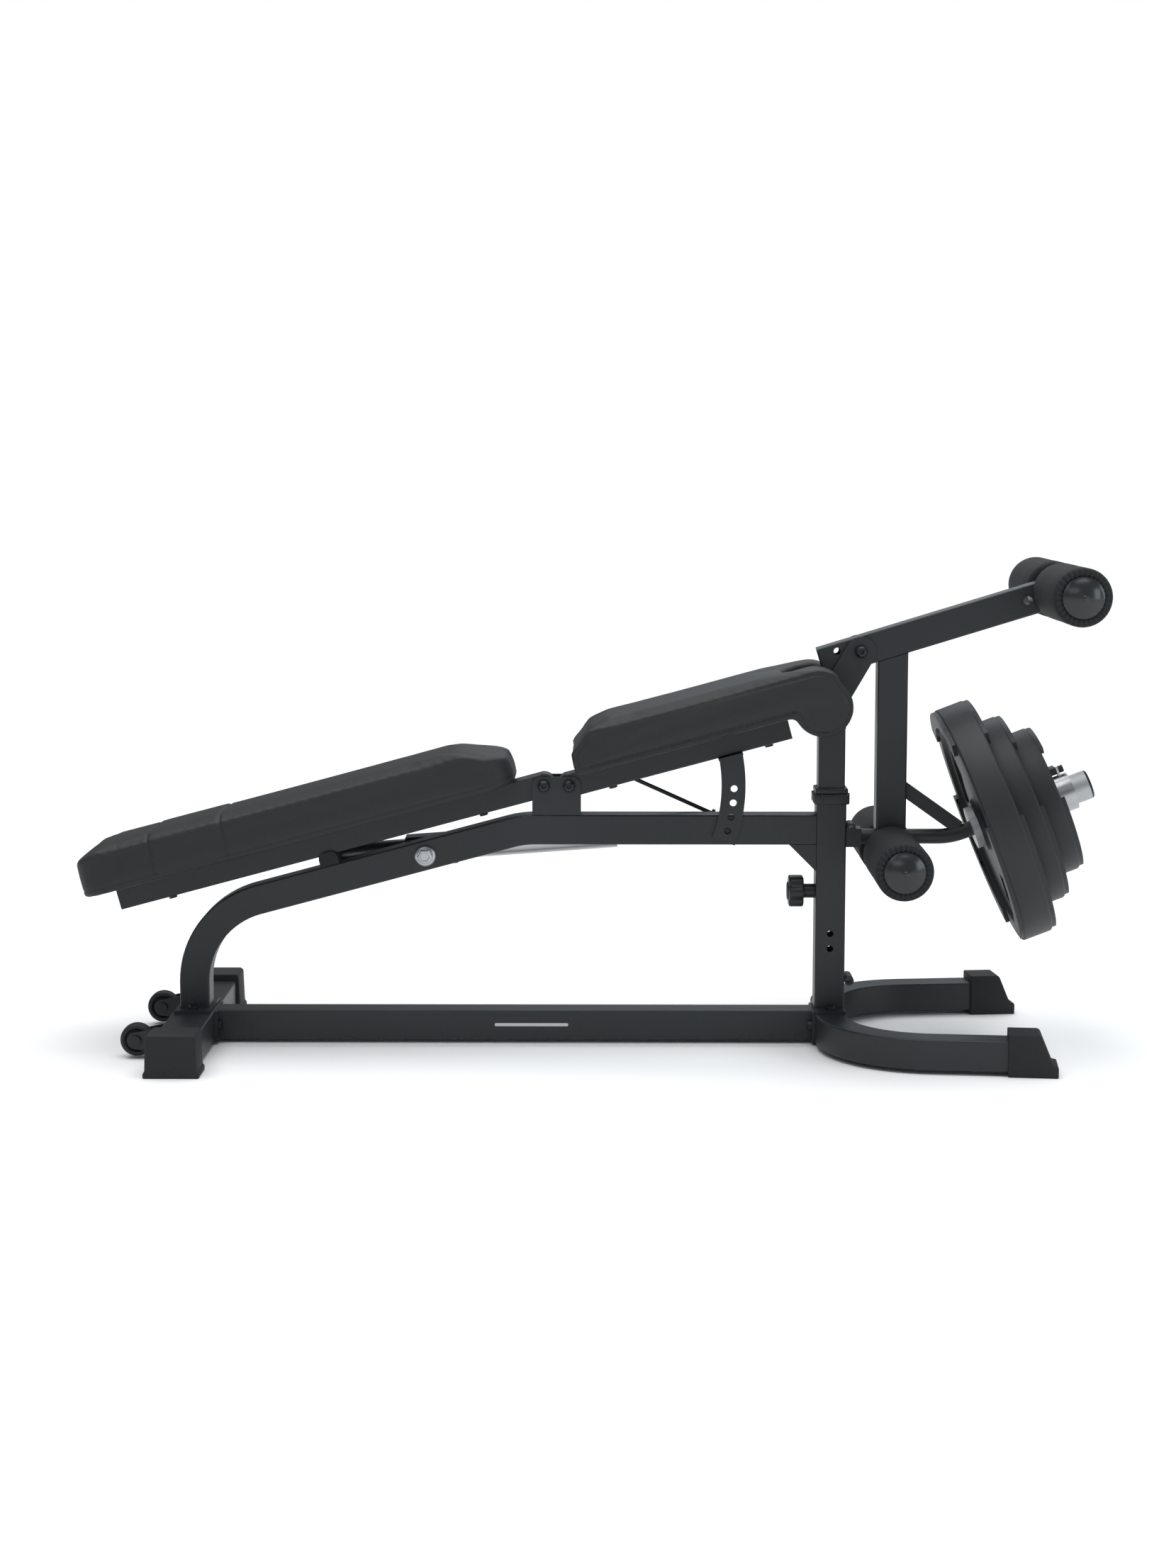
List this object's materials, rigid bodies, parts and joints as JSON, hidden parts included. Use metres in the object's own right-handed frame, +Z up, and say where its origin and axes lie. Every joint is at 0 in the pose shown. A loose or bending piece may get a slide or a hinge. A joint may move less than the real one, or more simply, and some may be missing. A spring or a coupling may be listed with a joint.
{
  "type": "adjustable exercise bench",
  "caption": "Adjustable incline and decline exercise bench with a plate-loaded leg developer, foam rollers, a splayed front foot and transport wheels.",
  "frame": {"origin": "on the floor, under the middle of the bounding box", "axes": "+X along the bench towards the leg developer, +Y across it, +Z up"},
  "size_m": [1.7045, 0.566, 0.8103],
  "materials": {
    "frame_paint": "satin powder coat",
    "rubber": "matt moulded rubber",
    "plastic": "moulded plastic",
    "foam": "matt skinned foam",
    "vinyl": "fine-grained vinyl",
    "zinc": "zinc plated",
    "chrome": "polished",
    "plate_rubber": "rubber-coated iron"
  },
  "bodies": {
    "base": {"rear_cross_tube": "frame_paint", "rear_foot_caps": "rubber", "floor_beam": "frame_paint", "bolting_plates": "frame_paint", "front_u_foot": "frame_paint", "front_foot_caps": "rubber", "front_post": "frame_paint", "frame_tube": "frame_paint", "rail_gusset": "frame_paint", "post_collar": "plastic", "hinge_bracket": "frame_paint", "pivot_bolts": "zinc", "backrest_rest": "rubber", "wheel_brackets": "frame_paint", "frame_bolts": "zinc", "band_peg": "frame_paint", "pin_barrels": "plastic", "rod_guide": "frame_paint"},
    "wheel_near_body": {"wheel_near": "rubber"},
    "wheel_far_body": {"wheel_far": "rubber"},
    "backrest": {"backrest_tube": "frame_paint", "backrest_pad": "vinyl", "backrest_pad_bolts": "zinc", "strut_lug": "frame_paint"},
    "sleeve": {"strut_sleeve": "frame_paint"},
    "strut": {"strut_tube": "chrome", "strut_end_pin": "zinc"},
    "strut_pin": {"strut_lock_pin": "plastic"},
    "seat": {"seat_tube": "frame_paint", "seat_pad": "vinyl", "seat_arc_bracket": "frame_paint", "seat_bolts": "zinc"},
    "stay": {"seat_stay_rod": "zinc"},
    "seat_pin": {"seat_lock_pin": "plastic"},
    "upright": {"leg_upright": "frame_paint", "clevis_plates": "frame_paint", "arm_pivot_bolt": "zinc"},
    "post_pin": {"post_knob": "plastic"},
    "leg_arm": {"arm_tube": "frame_paint", "arm_drop_tube": "frame_paint", "horn_tube": "frame_paint", "horn_brace": "frame_paint", "stop_block": "frame_paint", "roller_sleeves": "frame_paint", "roller_rods": "zinc", "weight_sleeve": "chrome", "sleeve_end_cap": "plastic"},
    "collar": {"spring_collar": "chrome"},
    "lever": {"collar_lever": "plastic"},
    "plate_large_body": {"plate_large": "plate_rubber"},
    "plate_medium_body": {"plate_medium": "plate_rubber"},
    "plate_small_body": {"plate_small": "plate_rubber"},
    "roller_upper_near": {"foam_roller_upper_near": "foam", "roller_cap_upper_near": "plastic"},
    "roller_upper_far": {"foam_roller_upper_far": "foam", "roller_cap_upper_far": "plastic"},
    "roller_lower_near": {"foam_roller_lower_near": "foam", "roller_cap_lower_near": "plastic"},
    "roller_lower_far": {"foam_roller_lower_far": "foam", "roller_cap_lower_far": "plastic"}
  },
  "joints": [
    {"name": "backrest_tilt", "type": "hinge", "parent": "base", "child": "backrest", "pos_m": [-0.0705, 0, 0.4385], "axis": [0, 1, 0], "range_deg": [0, 72]},
    {"name": "strut_sleeve_tilt", "type": "hinge", "parent": "base", "child": "sleeve", "pos_m": [-0.2693, 0, 0.3205], "axis": [0, 1, 0], "range_deg": [0, 89.72]},
    {"name": "strut_extend", "type": "slide", "parent": "sleeve", "child": "strut", "axis": [-0.9973, 0, -0.0732], "range_m": [0, 0.2621]},
    {"name": "strut_lock_pull", "type": "slide", "parent": "sleeve", "child": "strut_pin", "axis": [0, 1, 0], "range_m": [0, 0.01], "stiffness_N_per_m": 400},
    {"name": "seat_tilt", "type": "hinge", "parent": "base", "child": "seat", "pos_m": [-0.028, 0, 0.4385], "axis": [0, 1, 0], "range_deg": [0, 15]},
    {"name": "seat_stay_pivot", "type": "hinge", "parent": "seat", "child": "stay", "pos_m": [0.06835, 0.033, 0.44982], "axis": [0, 1, 0], "range_deg": [-24.33, 0]},
    {"name": "seat_lock_pull", "type": "slide", "parent": "base", "child": "seat_pin", "axis": [0, 1, 0], "range_m": [0, 0.01], "stiffness_N_per_m": 400},
    {"name": "upright_height", "type": "slide", "parent": "base", "child": "upright", "axis": [0, 0, 1], "range_m": [0, 0.0255]},
    {"name": "post_knob_pull", "type": "slide", "parent": "base", "child": "post_pin", "axis": [-1, 0, 0], "range_m": [0, 0.01], "stiffness_N_per_m": 400},
    {"name": "leg_arm_swing", "type": "hinge", "parent": "upright", "child": "leg_arm", "pos_m": [0.4556, 0, 0.663], "axis": [0, -1, 0], "range_deg": [0, 85]},
    {"name": "plate_large_spin", "type": "hinge", "parent": "leg_arm", "child": "plate_large_body", "pos_m": [0.65792, 0, 0.36864], "axis": [0.933, 0, 0.36], "continuous": true},
    {"name": "plate_medium_spin", "type": "hinge", "parent": "leg_arm", "child": "plate_medium_body", "pos_m": [0.65792, 0, 0.36864], "axis": [0.933, 0, 0.36], "continuous": true},
    {"name": "plate_small_spin", "type": "hinge", "parent": "leg_arm", "child": "plate_small_body", "pos_m": [0.65792, 0, 0.36864], "axis": [0.933, 0, 0.36], "continuous": true},
    {"name": "collar_slide", "type": "slide", "parent": "leg_arm", "child": "collar", "axis": [0.933, 0, 0.36], "range_m": [0, 0.03]},
    {"name": "collar_lever_turn", "type": "hinge", "parent": "collar", "child": "lever", "pos_m": [0.78049, 0, 0.45988], "axis": [0.933, 0, 0.36], "range_deg": [0, 80]},
    {"name": "wheel_near_spin", "type": "hinge", "parent": "base", "child": "wheel_near_body", "pos_m": [-0.739, -0.131, 0.031], "axis": [0, 1, 0], "continuous": true},
    {"name": "wheel_far_spin", "type": "hinge", "parent": "base", "child": "wheel_far_body", "pos_m": [-0.739, 0.131, 0.031], "axis": [0, 1, 0], "continuous": true},
    {"name": "roller_upper_near_spin", "type": "hinge", "parent": "leg_arm", "child": "roller_upper_near", "pos_m": [0.78361, -0.132, 0.76328], "axis": [0, 1, 0], "continuous": true},
    {"name": "roller_upper_far_spin", "type": "hinge", "parent": "leg_arm", "child": "roller_upper_far", "pos_m": [0.78361, 0.132, 0.76328], "axis": [0, 1, 0], "continuous": true},
    {"name": "roller_lower_near_spin", "type": "hinge", "parent": "leg_arm", "child": "roller_lower_near", "pos_m": [0.5098, -0.132, 0.3256], "axis": [0, 1, 0], "continuous": true},
    {"name": "roller_lower_far_spin", "type": "hinge", "parent": "leg_arm", "child": "roller_lower_far", "pos_m": [0.5098, 0.132, 0.3256], "axis": [0, 1, 0], "continuous": true}
  ],
  "couplings": [
    {"joint": "strut_sleeve_tilt", "follows": "backrest_tilt", "ratio": 1.2391},
    {"joint": "strut_extend", "follows": "backrest_tilt", "m_per_rad": 0.20694},
    {"joint": "seat_stay_pivot", "follows": "seat_tilt", "ratio": -1.5887}
  ]
}
